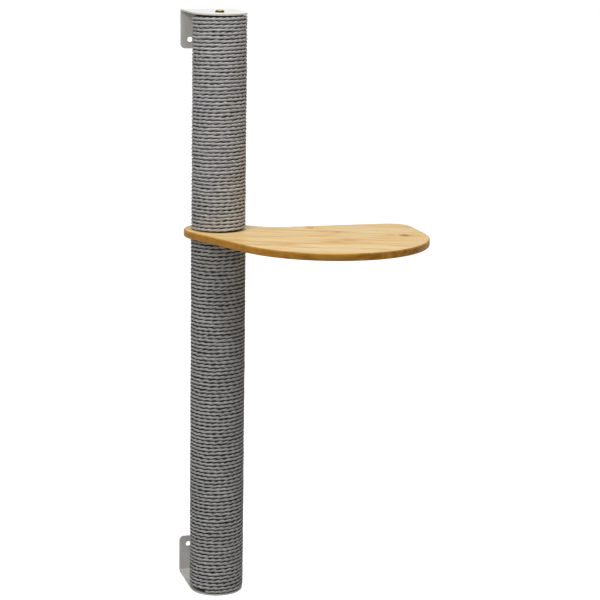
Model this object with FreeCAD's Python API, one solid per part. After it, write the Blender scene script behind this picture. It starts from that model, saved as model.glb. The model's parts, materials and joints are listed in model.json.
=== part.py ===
import FreeCAD, Part
import math
import os

from FreeCAD import Placement, Rotation, Vector

# A wall mounted cat tree: a rope-wound post in two lengths, a bamboo shelf clamped
# between them on a stud, and a bent steel bracket at each end that holds it off the wall.
#
# Millimetres. The wall is the plane y = 0 and +Y goes into it, +X runs to the right along
# it and +Z is up. The origin lies on the wall, midway between the lower bracket's two
# wall holes.

# ---------------------------------------------------------------- driving dimensions

# post
TUBE_OUTER_D = 78.0         # cardboard core
TUBE_WALL = 4.0
ROPE_D = 6.0
LOWER_LENGTH = 613.0        # core below the shelf
UPPER_LENGTH = 353.0        # core above the shelf
AXIS_FROM_WALL = 91.0       # post axis to wall

# shelf
SHELF_THICKNESS = 12.0
SHELF_OVERHANG = 12.5       # how far its round end stands out past the rope
SHELF_EDGE_EASE = 1.5       # bevel along both rims
SHELF_LENGTH = 326.0        # post axis to the far side, along the wall
SHELF_DEPTH = 259.0         # post axis to the front edge, away from the wall
SHELF_BACK = 2.5            # post axis to the straight back edge, away from the wall
SHELF_NEAR_SLANT = 66.4     # degrees between the near side and the wall
SHELF_NECK_SLANT = 48.0     # degrees between the neck behind the post and the wall
SHELF_NEAR_R = 178.0
SHELF_FRONT_R = 158.0
SHELF_BACK_R = 38.0
SHELF_NECK_R = 86.0

# wall brackets, bent from one strip of sheet
SHEET = 2.5
BRACKET_WIDTH = 90.0
BRACKET_LEG = 65.0          # height of the wall leg, over the sheet
BEND_INNER_R = 2.5
LEG_CORNER_R = 8.0
WALL_HOLE_D = 9.0
WALL_HOLE_SPACING = 58.0
WALL_HOLE_FROM_END = 15.0   # hole centre to the leg's free end

# thread, bolts and stud
THREAD_D = 8.0
BOLT_LENGTH = 30.0          # under the head
BOLT_HEAD_D = 15.0
BOLT_HEAD_H = 4.4
BOLT_HEAD_RIM = 0.8         # straight rim under the dome
SOCKET_ACROSS_FLATS = 5.0
SOCKET_DEPTH = 2.6
SOCKET_SIDES = 6
STUD_LENGTH = 60.0
CLEARANCE_HOLE_D = 9.0      # bolt holes in the sheet

# plugs in the ends of the cores, and the nuts driven into them
PLUG_LENGTH = 20.0
NUT_FLANGE_D = 22.0
NUT_FLANGE_H = 1.5
NUT_BARREL_D = 10.0
NUT_BARREL_H = 11.0
PRONG_COUNT = 4
PRONG_CIRCLE_D = 17.0
PRONG_WIDTH = 3.0
PRONG_LENGTH = 6.0
PRONG_THICKNESS = 1.2

# staples that hold the plugs
STAPLES_PER_PLUG = 3
FIRST_STAPLE_AT = 60.0      # degrees round the post from its front
STAPLE_CROWN = 10.0
STAPLE_LEG = 12.0
STAPLE_WIRE_WIDTH = 1.2
STAPLE_WIRE_THICKNESS = 0.7

# fits
STUD_IN_SHELF_GAP = 0.3     # radial, the shelf turns about the stud
SHELF_FACE_GAP = 0.05       # the shelf lies between the cores with this at each face
ROPE_TO_SHELF_GAP = 0.5
ROPE_TO_PLATE_GAP = 1.0
PRESS_GAP = 0.05            # radial, glued and driven pieces

# ---------------------------------------------------------------- derived positions

TUBE_R = TUBE_OUTER_D / 2
TUBE_INNER_R = TUBE_R - TUBE_WALL
ROPE_OUTER_R = TUBE_R + ROPE_D
AXIS_Y = -AXIS_FROM_WALL

LOWER_PLATE_BOTTOM = -(BRACKET_LEG - WALL_HOLE_FROM_END)
LOWER_FOOT = LOWER_PLATE_BOTTOM + SHEET
LOWER_HEAD = LOWER_FOOT + LOWER_LENGTH
SHELF_BOTTOM = LOWER_HEAD + SHELF_FACE_GAP
SHELF_TOP = SHELF_BOTTOM + SHELF_THICKNESS
UPPER_FOOT = SHELF_TOP + SHELF_FACE_GAP
UPPER_HEAD = UPPER_FOOT + UPPER_LENGTH
UPPER_PLATE_TOP = UPPER_HEAD + SHEET

UP = Vector(0, 0, 1)
DOWN = Vector(0, 0, -1)


# ---------------------------------------------------------------- helpers

def on_axis(z):
    """A point on the post axis."""
    return Vector(0, AXIS_Y, z)


def cylinder(radius, z_low, z_high):
    """A solid cylinder about the post axis."""
    return Part.makeCylinder(radius, z_high - z_low, on_axis(z_low))


def revolved(profile):
    """A solid of revolution about the Z axis through (radius, height) points."""
    corners = [Vector(radius, 0, height) for radius, height in profile + profile[:1]]
    return Part.Face(Part.makePolygon(corners)).revolve(Vector(0, 0, 0), UP, 360)


def placed(shape, z, direction):
    """The shape, made at the origin along +Z, moved to the post axis to point UP or DOWN."""
    half_turn = 0 if direction == UP else 180
    moved = shape.copy()
    moved.Placement = Placement(on_axis(z), Rotation(Vector(1, 0, 0), half_turn)) * shape.Placement
    return moved


def turned_about_axis(shape, angle):
    """The shape turned about the post axis."""
    moved = shape.copy()
    moved.rotate(on_axis(0), UP, angle)
    return moved


def turned(point, angle):
    """The point turned about the Z axis."""
    return Rotation(UP, angle).multVec(point)


def save(shape, node):
    shape.exportStep("parts/" + node + ".step")


# ---------------------------------------------------------------- wall brackets

def bent_strip():
    """The sheet's side view, an L with a bend, drawn across the whole width."""
    outer_r = BEND_INNER_R + SHEET
    reach = AXIS_FROM_WALL + BRACKET_WIDTH / 2
    middle = math.sqrt(0.5)

    def point(from_wall, height):
        return Vector(-BRACKET_WIDTH / 2, -from_wall, height - SHEET)

    def bend(radius):
        """The three points of a bend arc, from plate to leg."""
        return (
            point(outer_r, outer_r - radius),
            point(outer_r - radius * middle, outer_r - radius * middle),
            point(outer_r - radius, outer_r),
        )

    outer_bend = bend(outer_r)
    inner_bend = bend(BEND_INNER_R)
    edges = [
        Part.LineSegment(point(reach, 0), outer_bend[0]).toShape(),
        Part.Arc(*outer_bend).toShape(),
        Part.LineSegment(outer_bend[2], point(0, BRACKET_LEG)).toShape(),
        Part.LineSegment(point(0, BRACKET_LEG), point(SHEET, BRACKET_LEG)).toShape(),
        Part.LineSegment(point(SHEET, BRACKET_LEG), inner_bend[2]).toShape(),
        Part.Arc(*reversed(inner_bend)).toShape(),
        Part.LineSegment(inner_bend[0], point(reach, SHEET)).toShape(),
        Part.LineSegment(point(reach, SHEET), point(reach, 0)).toShape(),
    ]
    return Part.Face(Part.Wire(edges)).extrude(Vector(BRACKET_WIDTH, 0, 0))


def tongue_outline():
    """The plate's outline from above: straight sides and a round nose about the post axis."""
    half = BRACKET_WIDTH / 2
    edges = [
        Part.LineSegment(Vector(-half, AXIS_Y, 0), Vector(-half, 0, 0)).toShape(),
        Part.LineSegment(Vector(-half, 0, 0), Vector(half, 0, 0)).toShape(),
        Part.LineSegment(Vector(half, 0, 0), Vector(half, AXIS_Y, 0)).toShape(),
        Part.Arc(
            Vector(half, AXIS_Y, 0),
            Vector(0, AXIS_Y - half, 0),
            Vector(-half, AXIS_Y, 0),
        ).toShape(),
    ]
    return Part.Face(Part.Wire(edges))


def leg_outline():
    """The bracket's outline from the front, with the free end's corners rounded."""
    half = BRACKET_WIDTH / 2
    corner = Vector(-half, AXIS_Y - half, -SHEET)
    block = Part.makeBox(BRACKET_WIDTH, AXIS_FROM_WALL + half, BRACKET_LEG, corner)
    corners = [
        edge for edge in block.Edges
        if all(abs(vertex.Z - (BRACKET_LEG - SHEET)) < SHEET / 10 for vertex in edge.Vertexes)
        and abs(edge.Vertexes[0].X - edge.Vertexes[1].X) < SHEET / 10
    ]
    return block.makeFillet(LEG_CORNER_R, corners)


def wall_bracket():
    """The bracket with its plate's inner face at z = 0 and its wall leg rising."""
    tongue = tongue_outline().extrude(Vector(0, 0, BRACKET_LEG))
    tongue.translate(Vector(0, 0, -SHEET))
    bracket = bent_strip().common(tongue).common(leg_outline())
    bolt_hole = cylinder(CLEARANCE_HOLE_D / 2, -SHEET, 0)
    bracket = bracket.cut(bolt_hole)
    hole_height = BRACKET_LEG - SHEET - WALL_HOLE_FROM_END
    for side in (-1, 1):
        centre = Vector(side * WALL_HOLE_SPACING / 2, -SHEET, hole_height)
        bracket = bracket.cut(Part.makeCylinder(WALL_HOLE_D / 2, SHEET, centre, Vector(0, 1, 0)))
    return bracket.Solids[0]


def make_brackets():
    lower = wall_bracket()
    lower.translate(Vector(0, 0, LOWER_FOOT))
    save(lower, "wall_bracket_lower")
    upper = wall_bracket()
    upper.rotate(Vector(0, 0, 0), Vector(0, 1, 0), 180)
    upper.translate(Vector(0, 0, UPPER_HEAD))
    save(upper, "wall_bracket_upper")


# ---------------------------------------------------------------- bolts and stud

def bracket_bolt():
    """A low domed socket bolt, its head's underside at z = 0 and its shank going down."""
    shank_r = THREAD_D / 2
    head_r = BOLT_HEAD_D / 2
    socket_r = SOCKET_ACROSS_FLATS / math.sqrt(3)
    bolt = revolved([
        (0, -BOLT_LENGTH),
        (shank_r, -BOLT_LENGTH),
        (shank_r, 0),
        (head_r, 0),
        (head_r, BOLT_HEAD_RIM),
        (socket_r + BOLT_HEAD_RIM, BOLT_HEAD_H),
        (0, BOLT_HEAD_H),
    ])
    corner = Vector(socket_r, 0, BOLT_HEAD_H - SOCKET_DEPTH)
    corners = [turned(corner, 360 * i / SOCKET_SIDES) for i in range(SOCKET_SIDES + 1)]
    socket = Part.Face(Part.makePolygon(corners)).extrude(Vector(0, 0, SOCKET_DEPTH))
    return bolt.cut(socket).Solids[0]


def shelf_stud():
    """A plain length of rod, its middle at z = 0."""
    return Part.makeCylinder(THREAD_D / 2, STUD_LENGTH, Vector(0, 0, -STUD_LENGTH / 2))


def make_bolts():
    save(placed(bracket_bolt(), UPPER_PLATE_TOP, UP), "bracket_bolt_upper")
    save(placed(bracket_bolt(), LOWER_PLATE_BOTTOM, DOWN), "bracket_bolt_lower")
    save(placed(shelf_stud(), (SHELF_BOTTOM + SHELF_TOP) / 2, UP), "shelf_stud")


# ---------------------------------------------------------------- plugs, nuts and staples

def nut_prongs(gap):
    """The pointed prongs round a tee nut, standing on its flange at z = 0.

    gap widens them all round, which gives the slits that they are driven into.
    """
    half = PRONG_WIDTH / 2 + gap
    across = PRONG_THICKNESS + 2 * gap
    root = -NUT_FLANGE_H / 2
    blade = Part.Face(Part.makePolygon([
        Vector(0, -half, root),
        Vector(0, half, root),
        Vector(0, half, 0),
        Vector(0, 0, PRONG_LENGTH + gap),
        Vector(0, -half, 0),
        Vector(0, -half, root),
    ])).extrude(Vector(across, 0, 0))
    blade.translate(Vector((PRONG_CIRCLE_D - across) / 2, 0, 0))
    prongs = [blade.copy() for i in range(PRONG_COUNT)]
    for i, prong in enumerate(prongs):
        prong.rotate(Vector(0, 0, 0), UP, 360 * i / PRONG_COUNT)
    return prongs


def tee_nut():
    """A nut whose flange lies under z = 0 and whose barrel and prongs rise from it."""
    bore_r = THREAD_D / 2 + PRESS_GAP
    nut = revolved([
        (bore_r, -NUT_FLANGE_H),
        (NUT_FLANGE_D / 2, -NUT_FLANGE_H),
        (NUT_FLANGE_D / 2, 0),
        (NUT_BARREL_D / 2, 0),
        (NUT_BARREL_D / 2, NUT_BARREL_H),
        (bore_r, NUT_BARREL_H),
    ])
    for prong in nut_prongs(0):
        nut = nut.fuse(prong)
    return nut.removeSplitter().Solids[0]


def staple(gap, back):
    """A staple driven inwards along +Y, its crown from y = back to the wire's thickness.

    gap widens it all round, which gives the slot that it is driven into.
    """
    wire_w = STAPLE_WIRE_WIDTH + 2 * gap
    crown_front = STAPLE_WIRE_THICKNESS + gap
    leg_end = STAPLE_LEG + gap
    leg_outside = STAPLE_CROWN / 2 + gap
    leg_inside = STAPLE_CROWN / 2 - STAPLE_WIRE_THICKNESS - gap
    outline = Part.makePolygon([
        Vector(-leg_outside, back, 0),
        Vector(leg_outside, back, 0),
        Vector(leg_outside, leg_end, 0),
        Vector(leg_inside, leg_end, 0),
        Vector(leg_inside, crown_front, 0),
        Vector(-leg_inside, crown_front, 0),
        Vector(-leg_inside, leg_end, 0),
        Vector(-leg_outside, leg_end, 0),
        Vector(-leg_outside, back, 0),
    ])
    wire = Part.Face(outline).extrude(Vector(0, 0, wire_w))
    wire.translate(Vector(0, 0, -wire_w / 2))
    return wire


def plug_staples(plug_middle, gap=0.0, back=0.0):
    """The staples round one plug, driven through the core into it until they are flush."""
    crown_seat = math.sqrt(TUBE_R ** 2 - (STAPLE_CROWN / 2) ** 2)
    staples = []
    for i in range(STAPLES_PER_PLUG):
        wire = staple(gap, back)
        wire.translate(Vector(0, AXIS_Y - crown_seat, plug_middle))
        staples.append(turned_about_axis(wire, FIRST_STAPLE_AT + 360 * i / STAPLES_PER_PLUG))
    return staples


def end_plug(seat, inwards, nut_seat, staple_slots):
    """A plug whose outer face is at z = seat, drilled through for its nut's barrel."""
    bore_r = NUT_BARREL_D / 2 + PRESS_GAP
    disc = revolved([
        (bore_r, 0),
        (TUBE_INNER_R - PRESS_GAP, 0),
        (TUBE_INNER_R - PRESS_GAP, PLUG_LENGTH),
        (bore_r, PLUG_LENGTH),
    ])
    plug = placed(disc, seat, inwards)
    for prong in nut_prongs(PRESS_GAP):
        plug = plug.cut(placed(prong, nut_seat, inwards * -1))
    for slot in staple_slots:
        plug = plug.cut(slot)
    return plug.Solids[0]


def make_post_core(name, foot, head):
    """One length of core with a plug, a nut and staples at each end."""
    core = cylinder(TUBE_R, foot, head).cut(cylinder(TUBE_INNER_R, foot, head))
    nuts = []
    for end, seat, inwards in (("foot", foot, UP), ("head", head, DOWN)):
        nut_seat = seat + inwards.z * PLUG_LENGTH
        plug_middle = seat + inwards.z * PLUG_LENGTH / 2
        slots = plug_staples(plug_middle, PRESS_GAP, back=-STAPLE_WIRE_THICKNESS)
        for slot in slots:
            core = core.cut(slot)
        nuts.append(placed(tee_nut(), nut_seat, inwards * -1))
        save(end_plug(seat, inwards, nut_seat, slots), "end_plug_" + name + "_" + end)
        save(Part.makeCompound(plug_staples(plug_middle)), "plug_staples_" + name + "_" + end)
    save(core.Solids[0], "core_tube_" + name)
    save(Part.makeCompound(nuts), "tee_nuts_" + name)


# ---------------------------------------------------------------- rope

def rope_winding(bottom, top):
    """The outer shape of a single layer of rope wound turn against turn on the core."""
    inner = TUBE_R + PRESS_GAP
    rope_r = ROPE_D / 2
    shoulder_r = ROPE_OUTER_R - rope_r
    winding = revolved([
        (inner, bottom),
        (shoulder_r, bottom),
        (ROPE_OUTER_R, bottom + rope_r),
        (ROPE_OUTER_R, top - rope_r),
        (shoulder_r, top),
        (inner, top),
    ])
    winding.translate(Vector(0, AXIS_Y, 0))
    return winding


def make_windings():
    lower = rope_winding(LOWER_FOOT + ROPE_TO_PLATE_GAP, LOWER_HEAD - ROPE_TO_SHELF_GAP)
    save(lower, "rope_winding_lower")
    upper = rope_winding(UPPER_FOOT + ROPE_TO_SHELF_GAP, UPPER_HEAD - ROPE_TO_PLATE_GAP)
    save(upper, "rope_winding_upper")


# ---------------------------------------------------------------- shelf

def meeting_point(normal_a, offset_a, normal_b, offset_b):
    """Where two lines cross, each given by its unit normal and its distance from the post axis."""
    scale = normal_a.x * normal_b.y - normal_a.y * normal_b.x
    x = (offset_a * normal_b.y - offset_b * normal_a.y) / scale
    y = (offset_b * normal_a.x - offset_a * normal_b.x) / scale
    return on_axis(0) + Vector(x, y, 0)


def rounded_path(start, corners, end):
    """Lines from start to end with each (corner, radius) rounded, within the sides' lengths."""
    stops = [start] + [corner for corner, _ in corners] + [end]
    headings = [(far - near).normalize() for near, far in zip(stops, stops[1:])]
    half_turns = [near.getAngle(far) / 2 for near, far in zip(headings, headings[1:])]
    reaches = [radius * math.tan(half) for (_, radius), half in zip(corners, half_turns)]
    sides = [(far - near).Length for near, far in zip(stops, stops[1:])]
    needs = [near + far for near, far in zip([0.0] + reaches, reaches + [0.0])]
    room = min([1.0] + [side / need for side, need in zip(sides, needs)])
    edges = []
    last = start
    for (corner, _), reach, half, near, far in zip(corners, reaches, half_turns, headings, headings[1:]):
        reach = reach * room
        enter = corner - near * reach
        leave = corner + far * reach
        inwards = (far - near).normalize()
        middle = corner + inwards * reach * (1 - math.cos(half)) / math.sin(half)
        # arcs that meet, or nearly, need no straight run between them
        if (enter - last).Length > SHELF_EDGE_EASE:
            edges.append(Part.LineSegment(last, enter).toShape())
        else:
            enter = last
        edges.append(Part.Arc(enter, middle, leave).toShape())
        last = leave
    edges.append(Part.LineSegment(last, end).toShape())
    return edges


def shelf_outline():
    """The board from above: a round end about the post axis that widens into a lobe."""
    end_r = ROPE_OUTER_R + SHELF_OVERHANG
    near_side = math.radians(270 - SHELF_NEAR_SLANT)
    neck_side = math.radians(90 - SHELF_NECK_SLANT)

    def facing(angle):
        return Vector(math.cos(angle), math.sin(angle), 0)

    near, front, far, back, neck = (
        (facing(near_side), end_r),
        (Vector(0, -1, 0), SHELF_DEPTH),
        (Vector(1, 0, 0), SHELF_LENGTH),
        (Vector(0, 1, 0), -SHELF_BACK),
        (facing(neck_side), end_r),
    )
    corners = [
        (meeting_point(*near, *front), SHELF_NEAR_R),
        (meeting_point(*front, *far), SHELF_FRONT_R),
        (meeting_point(*far, *back), SHELF_BACK_R),
        (meeting_point(*back, *neck), SHELF_NECK_R),
    ]
    near_touch = on_axis(0) + facing(near_side) * end_r
    neck_touch = on_axis(0) + facing(neck_side) * end_r
    outermost = on_axis(0) + facing((near_side + neck_side) / 2) * end_r
    round_end = Part.Arc(neck_touch, outermost, near_touch).toShape()
    return Part.Wire([round_end] + rounded_path(near_touch, corners, neck_touch))


def make_shelf():
    board = Part.Face(shelf_outline()).extrude(Vector(0, 0, SHELF_THICKNESS))
    rims = [
        edge for edge in board.Edges
        if abs(edge.BoundBox.ZLength) < SHELF_EDGE_EASE / 10
    ]
    board = board.makeChamfer(SHELF_EDGE_EASE, rims)
    board.translate(Vector(0, 0, SHELF_BOTTOM))
    hole = cylinder(THREAD_D / 2 + STUD_IN_SHELF_GAP, SHELF_BOTTOM, SHELF_TOP)
    save(board.cut(hole).Solids[0], "shelf_board")


# ---------------------------------------------------------------- the whole tree

os.makedirs("parts", exist_ok=True)
make_brackets()
make_bolts()
make_post_core("lower", LOWER_FOOT, LOWER_HEAD)
make_post_core("upper", UPPER_FOOT, UPPER_HEAD)
make_windings()
make_shelf()
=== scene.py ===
import json
import math

import bpy
from mathutils import Matrix, Vector, noise


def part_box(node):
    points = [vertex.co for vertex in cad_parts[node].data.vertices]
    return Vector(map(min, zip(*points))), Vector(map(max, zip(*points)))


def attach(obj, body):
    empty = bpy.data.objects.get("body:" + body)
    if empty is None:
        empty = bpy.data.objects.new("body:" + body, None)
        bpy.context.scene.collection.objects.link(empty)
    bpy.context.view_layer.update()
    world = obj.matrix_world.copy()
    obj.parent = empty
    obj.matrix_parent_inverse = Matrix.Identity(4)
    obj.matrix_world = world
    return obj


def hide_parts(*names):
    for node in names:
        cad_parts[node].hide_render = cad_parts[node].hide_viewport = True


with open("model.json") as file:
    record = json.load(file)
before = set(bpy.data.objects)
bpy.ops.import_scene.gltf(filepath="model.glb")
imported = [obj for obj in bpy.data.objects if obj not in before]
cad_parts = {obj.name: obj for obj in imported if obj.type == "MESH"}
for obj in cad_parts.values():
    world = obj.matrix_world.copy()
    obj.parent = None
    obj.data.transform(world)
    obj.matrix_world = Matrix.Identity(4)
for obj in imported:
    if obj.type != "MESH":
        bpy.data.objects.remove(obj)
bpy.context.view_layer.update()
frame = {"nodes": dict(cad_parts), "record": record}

# A wall mounted cat tree, dressed for its picture. Metres, in the frame of the CAD model:
# the wall is y = 0, and +Z is up along the post. Colours are linear.

# ---------------------------------------------------------------- named values

# the photograph's camera, found from the post's edges, the brackets' corners and the shelf
PHOTO_WIDTH = 600
CAMERA_FOCAL_PX = 1879.8
CAMERA_AT = Vector((-0.7304, -3.0809, 1.1151))
CAMERA_YAW = math.radians(16.285)       # to the right of the wall's normal
CAMERA_DOWN = math.radians(12.05)
CAMERA_ROLL = math.radians(0.91)
SENSOR_WIDTH = 36.0                     # millimetres, as Blender has it

# rope
ROPE_D = 0.006
ROPE_STRANDS = 3
ROPE_LAY = 0.034                        # one full twist of the strands
LOWER_TURNS = 96.33
UPPER_TURNS = 58.53
LOWER_START = math.radians(-130)        # the cut end at the foot, about the post
UPPER_START = math.radians(-200)
LOWER_PROUD = 0.0012                    # how far the rope is set out from the CAD sleeve
UPPER_PROUD = 0.0004
LOWER_SEED = 3.7
UPPER_SEED = 11.3
RINGS_PER_TURN = 114
SECTION_ANGLES = (0, 33, 66, 105, 150, 210, 255, 294, 327)      # 0 is straight out
ROW_FILL = 0.99                         # a row's height as a share of the rows' pitch
INNER_FILL = 1.035                      # the inner side is pressed wider, so that rows meet
STRAND_GROOVE = 0.29                    # depth, as a share of the rope's radius
END_ROUNDING = 0.0045                   # length over which a cut end closes
END_SHARE = 0.35                        # how wide the end's face is left

# how the winding strays, by slow and quick noise
SLOW_ABOUT = 1.5                        # steps of noise about the post
SLOW_TURNS = 3.5                        # turns to a step
QUICK_ABOUT = 5.0
QUICK_PER_TURN = 0.9
ROW_WANDER = 0.00085                    # up and down
ROW_SWELL = 0.00050                     # in and out
SLOW_WANDER = 0.7                       # share of the slow noise in the wander
QUICK_SWELL = 0.4                       # share of the quick noise in the swell
STEADY_TURNS = 2                        # turns at each end that lie straight
TWIST_WANDER = 2.2                      # radians
TWIST_STEPS = 14                        # per metre of rope
GROOVE_WANDER = 0.55                    # as a share of the groove
GROOVE_STEPS = 23

# the rope's painted shade: 0 on a crest, 1 deep in a gap
GAP_POWER = 2.4                         # how fast the gap beside a row darkens
GAP_AT_CREST = 0.66                     # its darkness where a strand bulges
GAP_AT_GROOVE = 1.16                    # and where two strands meet
GAP_ABOVE = 1.25                        # more of it over a row, where the light reaches
GAP_BELOW = 0.62                        # and less under it, where the row's own shade falls
GAP_LOOSENESS = 5                       # power of the pitch by which looser rows are darker
GROOVE_SHOWS = 1.25                     # how dark a groove is away from the gaps
GROOVE_POWER = 1.5
GAP_STARTS = 0.30                       # shade that begins to darken the rope

ROPE_TONES = (
    (0.32, (0.362, 0.356, 0.350)),
    (0.50, (0.596, 0.587, 0.578)),
    (0.68, (0.822, 0.812, 0.800)),
)
ROPE_COOL = (0.48, 0.46, 0.51)
ROPE_WARM = (0.50, 0.48, 0.42)
# the colour that the painted shade in the gaps and grooves darkens the rope towards
ROPE_GAP_SHADE = (0.072, 0.068, 0.066)
FIBRE_SCALE = (260.0, 42.0)             # along the rope, round it
TUFT_SCALE = (90.0, 7.0)
TUFT_SHARE = 0.45
PATCH_SCALE = 26.0
PATCH_SHARE = 0.6
FUZZ_SCALE = 1900.0
FIBRE_HEIGHT, FIBRE_BUMP = 0.0011, 0.8
FUZZ_HEIGHT, FUZZ_BUMP = 0.0005, 0.6
ROPE_ROUGHNESS = 0.95
ROPE_GLOSS = {"Specular IOR Level": 0.15, "Sheen Weight": 0.12, "Sheen Roughness": 0.5}

# bolt
BOLT_SEGMENTS = 48
BOLT_DOME_STEPS = 7
BOLT_RIM = 0.0007
BOLT_SHANK_R = 0.004
BOLT_TIP_EASE = 0.0008
BOLT_EASE = 0.0002                      # at the head's seat and the socket's mouth
SOCKET_ACROSS_FLATS = 0.005
SOCKET_DEPTH = 0.0026
SOCKET_LIP = 0.0004

# board
GRAIN_ANGLE = math.radians(-17)         # of the board's length to the wall
STAVE_WIDTH = 0.0735
STAVE_JOINT_AT = -0.197                 # one glue line, across the grain from the origin
STAVE_SHIFT = 3.0                       # how far the grain differs from stave to stave
GLUE_LINE = (0.494, 0.4985)             # as a share of a stave's width from its middle
GLUE_SHARE = 0.5
KNOTS = (
    # x, y, size, darkness
    (0.2856, -0.2113, 0.0075, 1.00),
    (0.1860, -0.1600, 0.0065, 0.35),
    (0.1785, -0.2333, 0.0065, 0.40),
    (0.1530, -0.1120, 0.0055, 0.35),
    (0.1480, -0.2480, 0.0060, 0.15),
    (0.0720, -0.2560, 0.0050, 0.15),
)
KNOT_HEART = (0.9, 1.1)                 # along and across the grain, in knot sizes
KNOT_FLAME = (5.0, 2.2)
KNOT_PULL = 0.9                         # how far it pushes the grain aside, in knot sizes
FLAME_LEAST = 0.6                       # of a knot with no dark heart
FLAME_SHARE = 1.1
HEART_SHARE = 0.92
STREAK_SCALE = (8.0, 80.0)              # along the grain, across it
PORE_SCALE = (45.0, 1100.0)
CLOUD_SCALE = (9.0, 22.0)
FLAME_SCALE = (70.0, 240.0)
CLOUD_SHARE = 0.25
FACE_TONES = (
    (0.34, (0.500, 0.265, 0.065)),
    (0.44, (0.690, 0.455, 0.175)),
    (0.54, (0.765, 0.580, 0.292)),
)
EDGE_TONES = (
    (0.34, (0.270, 0.105, 0.008)),
    (0.50, (0.425, 0.192, 0.020)),
    (0.66, (0.560, 0.280, 0.042)),
)
PORE_COLOUR, PORE_SHARE = (0.46, 0.25, 0.07), 0.45
STAVE_COLOUR, STAVE_SHARE = (0.70, 0.45, 0.16), 0.45
FLAME_COLOUR = (0.58, 0.25, 0.030)
HEART_COLOUR = (0.270, 0.085, 0.002)
EDGE_STAVE_COLOUR, EDGE_STAVE_SHARE = (0.36, 0.16, 0.02), 0.25
ROUND_END_COLOUR, ROUND_END_SHARE = (0.62, 0.28, 0.035), 0.50
ROUND_END_X = (0.055, 0.050)            # the edge about the post is a paler stave's
GLUE_COLOUR = (0.30, 0.14, 0.04)
FACE_TILT = (0.80, 0.97)                # upright share of the normal, from edge to face
STREAK_HEIGHT, STREAK_BUMP = 0.0003, 0.25
PORE_HEIGHT, PORE_BUMP = 0.0001, 0.35
LACQUER_ROUGHNESS = (0.42, 0.56)
LACQUER_GLOSS = {"Specular IOR Level": 0.22}
BOARD_ROUNDING = 0.0008

# powder coat
COAT_TONES = (
    (0.30, (0.640, 0.612, 0.560)),
    (0.55, (0.725, 0.706, 0.665)),
    (0.75, (0.765, 0.752, 0.720)),
)
# painted shade on the walls of the wall holes
HOLE_PAINTED_SHADE = (0.040, 0.036, 0.020)
HOLE_EDGE = (0.0001, 0.0005)            # how far past a hole's wall its painted shade goes
PEEL_SCALE = 900.0
PEEL_HEIGHT, PEEL_BUMP = 0.00012, 0.5
SMUDGE_SCALE = 28.0
COAT_ROUGHNESS = (0.42, 0.55)
BRACKET_ROUNDING = 0.0005

# zinc
# the third colour is a painted dark reflection on the bolt heads' sides
GOLD_PALE, GOLD_DEEP, GOLD_PAINTED_REFLECTION = (0.70, 0.57, 0.27), (0.52, 0.40, 0.15), (0.035, 0.028, 0.008)
GOLD_ROUGHNESS = 0.30
BRIGHT_PALE, BRIGHT_DEEP = (0.66, 0.67, 0.69), (0.50, 0.51, 0.54)
BRIGHT_ROUGHNESS = 0.28
ZINC_ROUGHER = 0.15                     # in the clouded places
ZINC_CLOUD_SCALE = 320.0
ZINC_MARKS = (300.0, 300.0, 4000.0)
ZINC_HEIGHT, ZINC_BUMP = 0.00005, 0.4
SIDE_TILT = (0.94, 0.55)                # upright share of the normal, from top to side, over which the painted dark reflection comes in

# card and pressed board
# near black: the card's colour is painted shade, for where it shows in the gap under the rope
CARD_SHADE_TONES = ((0.3, (0.030, 0.023, 0.017)), (0.7, (0.062, 0.048, 0.036)))
CARD_FIBRES = (400.0, 400.0, 90.0)
CARD_HEIGHT, CARD_BUMP, CARD_ROUGHNESS = 0.0002, 0.5, 0.9
CHIP_TONES = ((0.0, (0.300, 0.190, 0.095)), (1.0, (0.520, 0.370, 0.210)))
CHIP_SCALE = (240.0, 240.0, 600.0)
CHIP_HEIGHT, CHIP_BUMP, CHIP_ROUGHNESS = 0.0003, 0.4, 0.85

# edges
ROUNDING_SEGMENTS = 2
ROUNDING_ANGLE = math.radians(30)
SHARP_ANGLE = math.radians(35)

# studio
FLOOR_BELOW = 1.1                       # floor below the wall holes
FLOOR_SIZE = 60.0
FLOOR_COLOUR = (0.82, 0.82, 0.82, 1)
FLOOR_ROUGHNESS = 0.9
WHITE = (1, 1, 1, 1)
ROOM_LIGHT = 0.15                       # the world's light on the object
LAMPS = (
    # name, place, aimed at, size, watts
    ("key", (-2.1, -2.0, 2.6), (0.05, -0.1, 0.45), 1.3, 34),
    ("fill", (1.6, -2.4, 2.6), (0.05, -0.1, 0.5), 2.0, 13),
    ("top", (-0.1, -0.8, 3.2), (0.05, -0.15, 0.4), 1.5, 52),
    ("back", (0.66, 2.8, 0.05), (0.0, 0.0, 0.45), 0.9, 26),
)


# ---------------------------------------------------------------- materials

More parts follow.
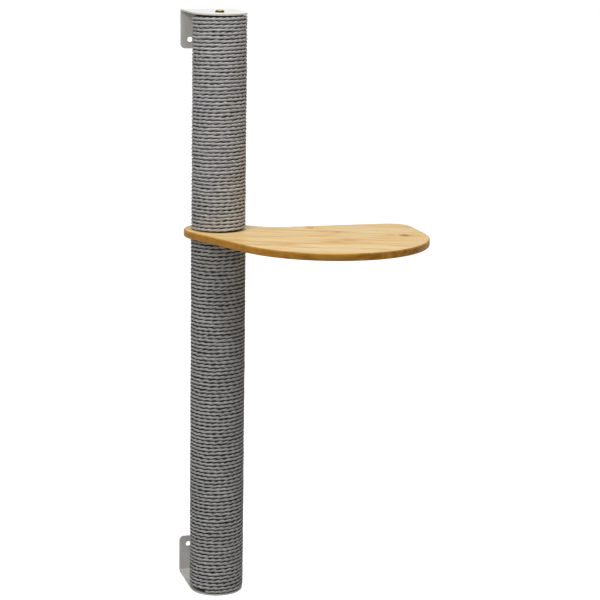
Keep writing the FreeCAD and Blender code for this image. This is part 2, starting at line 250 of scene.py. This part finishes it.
class Shader:
    """A material with one Principled shader and short calls that add nodes to it."""

    def __init__(self, name):
        self.material = bpy.data.materials.new(name)
        self.material.use_nodes = True
        self.tree = self.material.node_tree
        self.principled = self.tree.nodes["Principled BSDF"]

    def node(self, kind, *inputs, **settings):
        made = self.tree.nodes.new(kind)
        for key, value in settings.items():
            setattr(made, key, value)
        for socket, value in zip(made.inputs, inputs):
            self.feed(socket, value)
        return made

    def feed(self, socket, value):
        """Links a socket, or sets it where the value is the same all over."""
        if value is None:
            return
        if isinstance(value, bpy.types.NodeSocket):
            self.tree.links.new(value, socket)
        else:
            socket.default_value = value

    def math(self, operation, *inputs):
        return self.node("ShaderNodeMath", *inputs, operation=operation).outputs[0]

    def add(self, first, second):
        return self.math("ADD", first, second)

    def minus(self, first, second):
        return self.math("SUBTRACT", first, second)

    def times(self, first, second):
        return self.math("MULTIPLY", first, second)

    def over(self, first, second):
        return self.math("DIVIDE", first, second)

    def dot(self, first, second):
        made = self.node("ShaderNodeVectorMath", first, second, operation="DOT_PRODUCT")
        return made.outputs["Value"]

    def length(self, vector):
        made = self.node("ShaderNodeVectorMath", vector, operation="LENGTH")
        return made.outputs["Value"]

    def stretched(self, vector, scales):
        made = self.node("ShaderNodeVectorMath", vector, scales, operation="MULTIPLY")
        return made.outputs[0]

    def place(self):
        """Where the surface is, in metres in the CAD model's frame."""
        return self.node("ShaderNodeTexCoord").outputs["Object"]

    def upright(self):
        """How far the surface faces up or down, from 0 to 1."""
        normal = self.node("ShaderNodeNewGeometry").outputs["Normal"]
        return self.math("ABSOLUTE", self.split(normal)[2])

    def split(self, vector):
        return self.node("ShaderNodeSeparateXYZ", vector).outputs

    def join(self, x, y, z):
        return self.node("ShaderNodeCombineXYZ", x, y, z).outputs[0]

    def bell(self, x, y, x_size, y_size):
        """1 at the middle of an oval, and soft towards 0 outside it."""
        x_squared = self.math("POWER", self.over(x, x_size), 2.0)
        y_squared = self.math("POWER", self.over(y, y_size), 2.0)
        return self.math("EXPONENT", self.times(self.add(x_squared, y_squared), -1.0))

    def noise(self, vector, scale=1.0, detail=2.0, roughness=0.5):
        made = self.node("ShaderNodeTexNoise")
        self.feed(made.inputs["Vector"], vector)
        made.inputs["Scale"].default_value = scale
        made.inputs["Detail"].default_value = detail
        made.inputs["Roughness"].default_value = roughness
        return made.outputs[0]

    def ranged(self, value, low, high, to_low=0.0, to_high=1.0, smooth=False):
        made = self.node("ShaderNodeMapRange", value, low, high, to_low, to_high)
        if smooth:
            made.interpolation_type = "SMOOTHSTEP"
        return made.outputs[0]

    def ramp(self, value, stops):
        """A colour for a value, by (place, colour) stops."""
        made = self.node("ShaderNodeValToRGB", value)
        elements = made.color_ramp.elements
        while len(elements) < len(stops):
            elements.new(0.5)
        for element, (at, colour) in zip(elements, stops):
            element.position = at
            element.color = (*colour, 1)
        return made.outputs[0]

    def mix(self, share, first, second, blend="MIX"):
        made = self.node("ShaderNodeMix", data_type="RGBA", blend_type=blend)
        self.feed(made.inputs["Factor"], share)
        sockets = [s for s in made.inputs if s.type == "RGBA"]
        for socket, value in zip(sockets, (first, second)):
            linked = isinstance(value, bpy.types.NodeSocket)
            self.feed(socket, value if linked else (*value, 1))
        return [s for s in made.outputs if s.type == "RGBA"][0]

    def bump(self, height, distance, strength, normal=None):
        made = self.node("ShaderNodeBump")
        made.inputs["Strength"].default_value = strength
        made.inputs["Distance"].default_value = distance
        self.feed(made.inputs["Height"], height)
        self.feed(made.inputs["Normal"], normal)
        return made.outputs[0]

    def finish(self, colour, roughness, normal, metallic=0.0, gloss=None):
        self.feed(self.principled.inputs["Base Color"], colour)
        self.feed(self.principled.inputs["Roughness"], roughness)
        self.feed(self.principled.inputs["Metallic"], metallic)
        self.feed(self.principled.inputs["Normal"], normal)
        for key, value in (gloss or {}).items():
            self.principled.inputs[key].default_value = value
        return self.material


def rope_material():
    """Grey twisted rope: fibres along the rope, with painted shade in the gaps and the strand
    grooves.
    """
    s = Shader("rope")
    along, around, _ = s.split(s.node("ShaderNodeUVMap", uv_map="rope").outputs[0])
    # the painted shade, 0 on a crest and 1 deep in a gap
    depth = s.node("ShaderNodeAttribute", attribute_name="rope_depth").outputs["Fac"]
    place = s.place()

    def on_rope(scale, detail, roughness):
        return s.noise(s.join(s.times(along, scale[0]), s.times(around, scale[1]), 0.0),
                       1.0, detail, roughness)

    fibres = on_rope(FIBRE_SCALE, 3.0, 0.6)
    tufts = on_rope(TUFT_SCALE, 2.0, 0.5)
    patches = s.noise(place, PATCH_SCALE, 2.0, 0.5)
    light = s.ramp(s.add(s.times(fibres, 1 - TUFT_SHARE), s.times(tufts, TUFT_SHARE)), ROPE_TONES)
    cool = s.ranged(patches, 0.50, 0.70, 0.0, PATCH_SHARE)
    warm = s.ranged(patches, 0.50, 0.32, 0.0, PATCH_SHARE)
    tinted = s.mix(cool, light, ROPE_COOL, "SOFT_LIGHT")
    tinted = s.mix(warm, tinted, ROPE_WARM, "SOFT_LIGHT")
    # painted shade: the rope's colour darkened in the gaps between rows and in the strand grooves
    dark = s.mix(1.0, tinted, ROPE_GAP_SHADE, "MULTIPLY")
    shade = s.ranged(depth, GAP_STARTS, 1.0, smooth=True)
    colour = s.mix(shade, tinted, dark)
    fuzz = s.noise(place, FUZZ_SCALE, 3.0, 0.7)
    normal = s.bump(fibres, FIBRE_HEIGHT, FIBRE_BUMP, s.bump(fuzz, FUZZ_HEIGHT, FUZZ_BUMP))
    return s.finish(colour, ROPE_ROUGHNESS, normal, gloss=ROPE_GLOSS)


def knot_fields(s, along, across):
    """Dark hearts, the flames about them, and how far they push the grain aside."""
    cos, sin = math.cos(GRAIN_ANGLE), math.sin(GRAIN_ANGLE)
    hearts, flames, pull = 0.0, 0.0, 0.0
    for x, y, size, darkness in KNOTS:
        from_along = s.minus(along, x * cos + y * sin)
        from_across = s.minus(across, y * cos - x * sin)
        heart = s.bell(from_along, from_across, size * KNOT_HEART[0], size * KNOT_HEART[1])
        flame = s.bell(from_along, from_across, size * KNOT_FLAME[0], size * KNOT_FLAME[1])
        hearts = s.add(s.times(heart, darkness), hearts)
        flames = s.add(s.times(flame, FLAME_LEAST + (1 - FLAME_LEAST) * darkness), flames)
        aside = s.times(flame, s.math("SIGN", from_across))
        pull = s.add(s.times(aside, size * KNOT_PULL), pull)
    return hearts, flames, pull


def board_material():
    """A glued-up wooden board in satin lacquer: streaks, pores, and knots with their flames."""
    s = Shader("board")
    place = s.place()
    x, _, height = s.split(place)
    along = s.dot(place, (math.cos(GRAIN_ANGLE), math.sin(GRAIN_ANGLE), 0.0))
    across = s.dot(place, (-math.sin(GRAIN_ANGLE), math.cos(GRAIN_ANGLE), 0.0))
    hearts, flames, pull = knot_fields(s, along, across)
    bent = s.minus(across, pull)

    staves = s.over(s.minus(across, STAVE_JOINT_AT), STAVE_WIDTH)
    stave = s.math("FLOOR", staves)
    stave_noise = s.node("ShaderNodeTexWhiteNoise", None, stave, noise_dimensions="1D")
    stave_tone = stave_noise.outputs["Value"]
    shift = s.times(stave_tone, STAVE_SHIFT)

    def in_grain(scale, first=None):
        lengthwise = s.times(along, scale[0])
        if first is not None:
            lengthwise = s.add(lengthwise, first)
        return s.join(lengthwise, s.times(bent, scale[1]), s.times(height, scale[1]))

    streaks = s.noise(in_grain(STREAK_SCALE, shift), 1.0, 4.0, 0.6)
    pores = s.noise(in_grain(PORE_SCALE), 1.0, 2.0, 0.5)
    clouds = s.noise(s.join(s.times(along, CLOUD_SCALE[0]), s.times(across, CLOUD_SCALE[1]), shift),
                     1.0, 2.0, 0.5)
    flecks = s.noise(s.join(s.times(along, FLAME_SCALE[0]), s.times(bent, FLAME_SCALE[1]), 0.0),
                     1.0, 2.0)

    tone = s.add(s.times(streaks, 1 - CLOUD_SHARE), s.times(clouds, CLOUD_SHARE))
    face = s.ramp(tone, FACE_TONES)
    face = s.mix(s.ranged(pores, 0.52, 0.72, 0.0, PORE_SHARE), face, PORE_COLOUR)
    face = s.mix(s.ranged(stave_tone, 0.0, 1.0, 0.0, STAVE_SHARE), face, STAVE_COLOUR)
    patchy = s.ranged(flecks, 0.35, 0.6)
    face = s.mix(s.times(s.times(flames, patchy), FLAME_SHARE), face, FLAME_COLOUR)
    face = s.mix(s.ranged(hearts, 0.05, 0.75, 0.0, HEART_SHARE), face, HEART_COLOUR)

    edge = s.ramp(streaks, EDGE_TONES)
    edge = s.mix(s.ranged(stave_tone, 0.2, 1.0, 0.0, EDGE_STAVE_SHARE), edge, EDGE_STAVE_COLOUR)
    edge = s.mix(s.ranged(x, *ROUND_END_X, 0.0, ROUND_END_SHARE), edge, ROUND_END_COLOUR)

    colour = s.mix(s.ranged(s.upright(), *FACE_TILT, smooth=True), edge, face)
    from_middle = s.math("ABSOLUTE", s.minus(s.math("FRACT", staves), 0.5))
    colour = s.mix(s.ranged(from_middle, *GLUE_LINE, 0.0, GLUE_SHARE), colour, GLUE_COLOUR)
    normal = s.bump(streaks, STREAK_HEIGHT, STREAK_BUMP, s.bump(pores, PORE_HEIGHT, PORE_BUMP))
    roughness = s.ranged(pores, 0.3, 0.7, *LACQUER_ROUGHNESS)
    return s.finish(colour, roughness, normal, gloss=LACQUER_GLOSS)


def powder_coat(holes):
    """Off-white powder coat with a fine orange peel, and painted shade inside the wall holes."""
    s = Shader("powder_coat")
    place = s.place()
    peel = s.noise(place, PEEL_SCALE, 2.0, 0.5)
    smudge = s.noise(place, SMUDGE_SCALE, 3.0, 0.6)
    colour = s.ramp(smudge, COAT_TONES)
    x, _, z = s.split(place)
    inside = 0.0
    for hole_x, hole_z, hole_r in holes:
        away = s.length(s.join(s.minus(x, hole_x), s.minus(z, hole_z), 0.0))
        dark = s.ranged(away, hole_r + HOLE_EDGE[0], hole_r + HOLE_EDGE[1], 1.0, 0.0)
        inside = s.math("MAXIMUM", dark, inside)
    # painted shade inside the wall holes
    colour = s.mix(inside, colour, HOLE_PAINTED_SHADE)
    roughness = s.ranged(smudge, 0.3, 0.7, *COAT_ROUGHNESS)
    return s.finish(colour, roughness, s.bump(peel, PEEL_HEIGHT, PEEL_BUMP))


def zinc(name, pale, deep, roughness, sides=None):
    """Zinc plate: a cloudy passivated colour with fine turning marks, and where sides are given, a
    painted dark reflection on its sides.
    """
    s = Shader(name)
    place = s.place()
    cloud = s.noise(place, ZINC_CLOUD_SCALE, 3.0, 0.6)
    marks = s.noise(s.stretched(place, ZINC_MARKS), 1.0, 2.0, 0.5)
    colour = s.mix(s.ranged(cloud, 0.35, 0.65), deep, pale)
    if sides:
        # painted dark reflection on the steep sides
        colour = s.mix(s.ranged(s.upright(), *SIDE_TILT, smooth=True), colour, sides)
    rough = s.ranged(cloud, 0.3, 0.7, roughness, roughness + ZINC_ROUGHER)
    return s.finish(colour, rough, s.bump(marks, ZINC_HEIGHT, ZINC_BUMP), metallic=1.0)


def card():
    """Wound card, with fibres along the tube, painted near black as shade."""
    s = Shader("core_card")
    fibre = s.noise(s.stretched(s.place(), CARD_FIBRES), 1.0, 3.0, 0.6)
    normal = s.bump(fibre, CARD_HEIGHT, CARD_BUMP)
    return s.finish(s.ramp(fibre, CARD_SHADE_TONES), CARD_ROUGHNESS, normal)


def pressed_board():
    """Pressed wood chips."""
    s = Shader("plug_board")
    chips = s.node("ShaderNodeTexVoronoi", s.stretched(s.place(), CHIP_SCALE))
    tone = s.split(chips.outputs["Color"])[0]
    normal = s.bump(tone, CHIP_HEIGHT, CHIP_BUMP)
    return s.finish(s.ramp(tone, CHIP_TONES), CHIP_ROUGHNESS, normal)


# ---------------------------------------------------------------- new pieces

def add_piece(name, mesh, node, material):
    """A piece on the post that stands for a CAD node."""
    mesh.polygons.foreach_set("use_smooth", [True] * len(mesh.polygons))
    mesh.materials.append(material)
    piece = bpy.data.objects.new(name, mesh)
    bpy.context.scene.collection.objects.link(piece)
    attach(piece, "post")
    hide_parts(node)
    return piece


# ---------------------------------------------------------------- rope

def smooth_share(value):
    value = min(max(value, 0.0), 1.0)
    return value * value * (3 - 2 * value)


def straying(heading, turn, seed):
    """Where the slow and the quick noise are read for a place on the winding."""
    slow = Vector((SLOW_ABOUT * heading.x, SLOW_ABOUT * heading.y, turn / SLOW_TURNS + seed))
    quick = Vector((
        QUICK_ABOUT * heading.x,
        QUICK_ABOUT * heading.y,
        turn * QUICK_PER_TURN + 2 * seed,
    ))
    return slow, quick


def rope_ring(angle, turn, share_of_end, winding):
    """The points round the rope at one place with their painted shade, and the rope's length so
    far.
    """
    up = Vector((0, 0, 1))
    heading = Vector((math.cos(angle), math.sin(angle), 0))
    seed = winding["seed"]
    slow, quick = straying(heading, turn, seed)
    steady = max(min(1.0, turn / STEADY_TURNS, (winding["turns"] - turn) / STEADY_TURNS), 0.0)
    rise = ROW_WANDER * (SLOW_WANDER * noise.noise(slow) + noise.noise(quick)) * steady
    swell = ROW_SWELL * (noise.noise(slow + 40 * up) + QUICK_SWELL * noise.noise(quick + 80 * up))

    along = winding["length_per_turn"] * turn
    twist_noise = noise.noise(Vector((along * TWIST_STEPS, seed, 0)))
    groove_noise = noise.noise(Vector((along * GROOVE_STEPS, seed, 5)))
    twist = 2 * math.pi * along / ROPE_LAY + TWIST_WANDER * twist_noise
    groove = STRAND_GROOVE * (1 + GROOVE_WANDER * groove_noise)

    centre = winding["foot"] + up * (winding["pitch"] * turn) + up * rise
    centre = centre + heading * (winding["radius"] + swell)
    ring = []
    for degrees in SECTION_ANGLES:
        theta = math.radians(degrees)
        out, over = math.cos(theta), math.sin(theta)
        wave = 0.5 - 0.5 * math.cos(ROPE_STRANDS * (theta - twist))
        width = 1 - groove * wave if out > 0 else INNER_FILL
        reach = ROPE_D / 2 * width * share_of_end
        point = centre + heading * (reach * out) + up * (reach * winding["flatten"] * over)
        # painted shade beside the rows, where they meet, and in the strand grooves
        side = abs(over) if out > 0 else 1.0
        gap = side ** GAP_POWER * (GAP_AT_CREST + (GAP_AT_GROOVE - GAP_AT_CREST) * wave)
        gap *= winding["looseness"] * (GAP_ABOVE if over > 0 else GAP_BELOW)
        ring.append((point, min(1.0, gap + GROOVE_SHOWS * groove * wave ** GROOVE_POWER)))
    return ring, along


def rope_winding(name, node, turns, start, proud, seed, material):
    """One continuous rope wound up the post, standing for the CAD sleeve of that name."""
    low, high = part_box(node)
    rope_r = ROPE_D / 2
    foot_z = low.z + rope_r
    pitch = (high.z - rope_r - foot_z) / turns
    radius = (high.x - low.x) / 2 - rope_r + proud
    winding = {
        "turns": turns,
        "seed": seed,
        "pitch": pitch,
        "radius": radius,
        "flatten": pitch * ROW_FILL / ROPE_D,
        "looseness": (pitch / ROPE_D) ** GAP_LOOSENESS,
        "foot": Vector(((low.x + high.x) / 2, (low.y + high.y) / 2, foot_z)),
        "length_per_turn": math.hypot(2 * math.pi * radius, pitch),
    }
    count = int(turns * RINGS_PER_TURN) + 1
    sides = len(SECTION_ANGLES)
    points, painted_shades, lengths = [], [], []
    for i in range(count):
        turn = i / RINGS_PER_TURN
        from_end = winding["length_per_turn"] * min(turn, turns - turn)
        opened = math.sqrt(smooth_share(from_end / END_ROUNDING))
        closing = END_SHARE + (1 - END_SHARE) * opened
        ring, along = rope_ring(start + 2 * math.pi * turn, turn, closing, winding)
        points += [point for point, _ in ring]
        painted_shades += [depth for _, depth in ring]
        lengths.append(along)

    faces, coordinates = [], []
    around = [degrees / 360 for degrees in SECTION_ANGLES] + [1.0]
    for i in range(count - 1):
        for j in range(sides):
            k = (j + 1) % sides
            near, far = i * sides, (i + 1) * sides
            faces.append((near + j, far + j, far + k, near + k))
            u, v = around[j], around[j + 1]
            coordinates += [lengths[i], u, lengths[i + 1], u, lengths[i + 1], v, lengths[i], v]
    faces.append(tuple(range(sides)))
    faces.append(tuple(reversed(range((count - 1) * sides, count * sides))))
    for end in (0, count - 1):
        for j in range(sides):
            coordinates += [lengths[end], around[j]]

    mesh = bpy.data.meshes.new(name)
    mesh.from_pydata(points, [], faces)
    # the painted shade is kept on the points, for the rope's material
    mesh.attributes.new("rope_depth", "FLOAT", "POINT").data.foreach_set("value", painted_shades)
    mesh.uv_layers.new(name="rope").data.foreach_set("uv", coordinates)
    return add_piece(name, mesh, node, material)


# ---------------------------------------------------------------- bolts

def hexagon_reach(angle):
    """How far the socket's wall lies from the middle at this angle."""
    sixth = math.pi / 3
    return SOCKET_ACROSS_FLATS / 2 / math.cos((angle % sixth) - sixth / 2)


def bolt(name, node, bracket, head_up, material):
    """A low domed bolt with a hexagon socket, as tall and wide as the CAD bolt."""
    low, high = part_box(node)
    bracket_low, bracket_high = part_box(bracket)
    up = 1 if head_up else -1
    tip_z, top_z = (low.z, high.z) if head_up else (high.z, low.z)
    seat_z = bracket_high.z if head_up else bracket_low.z
    head_r = (high.x - low.x) / 2
    dome_h = abs(top_z - seat_z) - BOLT_RIM
    socket_r = SOCKET_ACROSS_FLATS / math.sqrt(3) + SOCKET_LIP
    middle = Vector(((low.x + high.x) / 2, (low.y + high.y) / 2, 0))

    def circle(radius):
        return lambda angle: radius

    rings = [
        (circle(BOLT_SHANK_R - BOLT_TIP_EASE), tip_z),
        (circle(BOLT_SHANK_R), tip_z + up * BOLT_TIP_EASE),
        (circle(BOLT_SHANK_R), seat_z),
        (circle(head_r - BOLT_EASE), seat_z),
        (circle(head_r), seat_z + up * BOLT_EASE),
        (circle(head_r), seat_z + up * BOLT_RIM),
    ]
    for step in range(1, BOLT_DOME_STEPS + 1):
        turn = math.pi / 2 * step / BOLT_DOME_STEPS
        reach = socket_r + (head_r - socket_r) * math.cos(turn)
        rings.append((circle(reach), seat_z + up * (BOLT_RIM + dome_h * math.sin(turn))))
    rings.append((hexagon_reach, top_z - up * BOLT_EASE))
    rings.append((hexagon_reach, top_z - up * SOCKET_DEPTH))

    points, faces = [], []
    for reach, z in rings:
        for j in range(BOLT_SEGMENTS):
            angle = 2 * math.pi * j / BOLT_SEGMENTS
            arm = reach(angle)
            points.append(middle + Vector((arm * math.cos(angle), arm * math.sin(angle), z)))
    for i in range(len(rings) - 1):
        near, far = i * BOLT_SEGMENTS, (i + 1) * BOLT_SEGMENTS
        for j in range(BOLT_SEGMENTS):
            k = (j + 1) % BOLT_SEGMENTS
            face = (near + j, near + k, far + k, far + j)
            faces.append(face if head_up else tuple(reversed(face)))
    last = (len(rings) - 1) * BOLT_SEGMENTS
    for start, flip in ((0, head_up), (last, not head_up)):
        cap = tuple(range(start, start + BOLT_SEGMENTS))
        faces.append(tuple(reversed(cap)) if flip else cap)
    mesh = bpy.data.meshes.new(name)
    mesh.from_pydata(points, [], faces)
    piece = add_piece(name, mesh, node, material)
    piece.modifiers.new("sharp_edges", "EDGE_SPLIT").split_angle = SHARP_ANGLE


# ---------------------------------------------------------------- CAD nodes

def dress(node, material, rounding=0.0):
    """Gives a CAD node its material, and rounds its edges a little."""
    piece = frame["nodes"][node]
    piece.data.materials.clear()
    piece.data.materials.append(material)
    if rounding:
        bevel = piece.modifiers.new("rounding", "BEVEL")
        bevel.width = rounding
        bevel.segments = ROUNDING_SEGMENTS
        bevel.limit_method = "ANGLE"
        bevel.angle_limit = ROUNDING_ANGLE
        bevel.harden_normals = True


def wall_holes():
    """(x, z, radius) of each wall hole, from the record's mounts."""
    holes = []
    for mount in frame["record"]["mounts"]:
        if mount["kind"] == "bolt_pattern":
            half = mount["dims"]["spacing_x_mm"] / 2 / 1000
            radius = mount["dims"]["hole_r_mm"] / 1000
            x, _, z = mount["pos_m"]
            holes += [(x - half, z, radius), (x + half, z, radius)]
    return holes


def dress_nodes():
    coat = powder_coat(wall_holes())
    bright = zinc("bright_zinc", BRIGHT_PALE, BRIGHT_DEEP, BRIGHT_ROUGHNESS)
    tube = card()
    plug = pressed_board()
    for node in frame["nodes"]:
        if node.startswith("wall_bracket"):
            dress(node, coat, BRACKET_ROUNDING)
        elif node.startswith(("tee_nuts", "plug_staples", "shelf_stud")):
            dress(node, bright)
        elif node.startswith("core_tube"):
            dress(node, tube)
        elif node.startswith("end_plug"):
            dress(node, plug)
    dress("shelf_board", board_material(), BOARD_ROUNDING)


# ---------------------------------------------------------------- studio

def area_light(name, at, towards, size, power):
    lamp = bpy.data.lights.new(name, "AREA")
    lamp.shape = "DISK"
    lamp.size = size
    lamp.energy = power
    holder = bpy.data.objects.new(name, lamp)
    holder.location = at
    aim = Vector(towards) - Vector(at)
    holder.rotation_euler = aim.to_track_quat("-Z", "Y").to_euler()
    bpy.context.scene.collection.objects.link(holder)


def seen_directly(tree):
    """1 where the camera sees the surface itself, or in gloss or glass."""
    path = tree.nodes.new("ShaderNodeLightPath")
    total = path.outputs["Is Camera Ray"]
    for name in ("Is Glossy Ray", "Is Transmission Ray"):
        either = tree.nodes.new("ShaderNodeMath")
        either.operation = "MAXIMUM"
        tree.links.new(total, either.inputs[0])
        tree.links.new(path.outputs[name], either.inputs[1])
        total = either.outputs[0]
    return total


def make_world():
    """A white backdrop that gives the object only a little light."""
    world = bpy.data.worlds.new("studio")
    bpy.context.scene.world = world
    world.use_nodes = True
    tree = world.node_tree
    backdrop = tree.nodes["Background"]
    strength = tree.nodes.new("ShaderNodeMapRange")
    tree.links.new(seen_directly(tree), strength.inputs[0])
    strength.inputs["To Min"].default_value = ROOM_LIGHT
    strength.inputs["To Max"].default_value = 1.0
    backdrop.inputs["Color"].default_value = WHITE
    tree.links.new(strength.outputs[0], backdrop.inputs["Strength"])


def make_floor():
    """A pale floor, white where it is seen."""
    half = FLOOR_SIZE / 2
    mesh = bpy.data.meshes.new("floor")
    corners = [(-half, -half), (half, -half), (half, half), (-half, half)]
    mesh.from_pydata([(x, y, -FLOOR_BELOW) for x, y in corners], [], [(0, 1, 2, 3)])
    floor = bpy.data.objects.new("floor", mesh)
    bpy.context.scene.collection.objects.link(floor)
    material = bpy.data.materials.new("floor")
    material.use_nodes = True
    tree = material.node_tree
    shader = tree.nodes["Principled BSDF"]
    shader.inputs["Base Color"].default_value = FLOOR_COLOUR
    shader.inputs["Roughness"].default_value = FLOOR_ROUGHNESS
    shader.inputs["Specular IOR Level"].default_value = 0.0
    shader.inputs["Emission Color"].default_value = WHITE
    tree.links.new(seen_directly(tree), shader.inputs["Emission Strength"])
    mesh.materials.append(material)


def make_camera():
    data = bpy.data.cameras.new("camera")
    data.sensor_width = SENSOR_WIDTH
    data.lens = CAMERA_FOCAL_PX * SENSOR_WIDTH / PHOTO_WIDTH
    camera = bpy.data.objects.new("camera", data)
    ahead = Vector((
        math.sin(CAMERA_YAW) * math.cos(CAMERA_DOWN),
        math.cos(CAMERA_YAW) * math.cos(CAMERA_DOWN),
        -math.sin(CAMERA_DOWN),
    ))
    level = Vector((math.cos(CAMERA_YAW), -math.sin(CAMERA_YAW), 0))
    rolled = Matrix.Rotation(-CAMERA_ROLL, 3, ahead)
    right = rolled @ level
    above = rolled @ level.cross(ahead)
    turned = Matrix((right, above, -ahead)).transposed()
    camera.matrix_world = Matrix.Translation(CAMERA_AT) @ turned.to_4x4()
    bpy.context.scene.collection.objects.link(camera)
    bpy.context.scene.camera = camera


# ---------------------------------------------------------------- the scene

make_camera()
make_world()
make_floor()
for lamp_values in LAMPS:
    area_light(*lamp_values)

dress_nodes()
rope = rope_material()
rope_winding("lower_rope", "rope_winding_lower",
             LOWER_TURNS, LOWER_START, LOWER_PROUD, LOWER_SEED, rope)
rope_winding("upper_rope", "rope_winding_upper",
             UPPER_TURNS, UPPER_START, UPPER_PROUD, UPPER_SEED, rope)
gold = zinc("yellow_zinc", GOLD_PALE, GOLD_DEEP, GOLD_ROUGHNESS, GOLD_PAINTED_REFLECTION)
bolt("upper_bolt", "bracket_bolt_upper", "wall_bracket_upper", True, gold)
bolt("lower_bolt", "bracket_bolt_lower", "wall_bracket_lower", False, gold)

bpy.context.scene.view_settings.view_transform = "Standard"
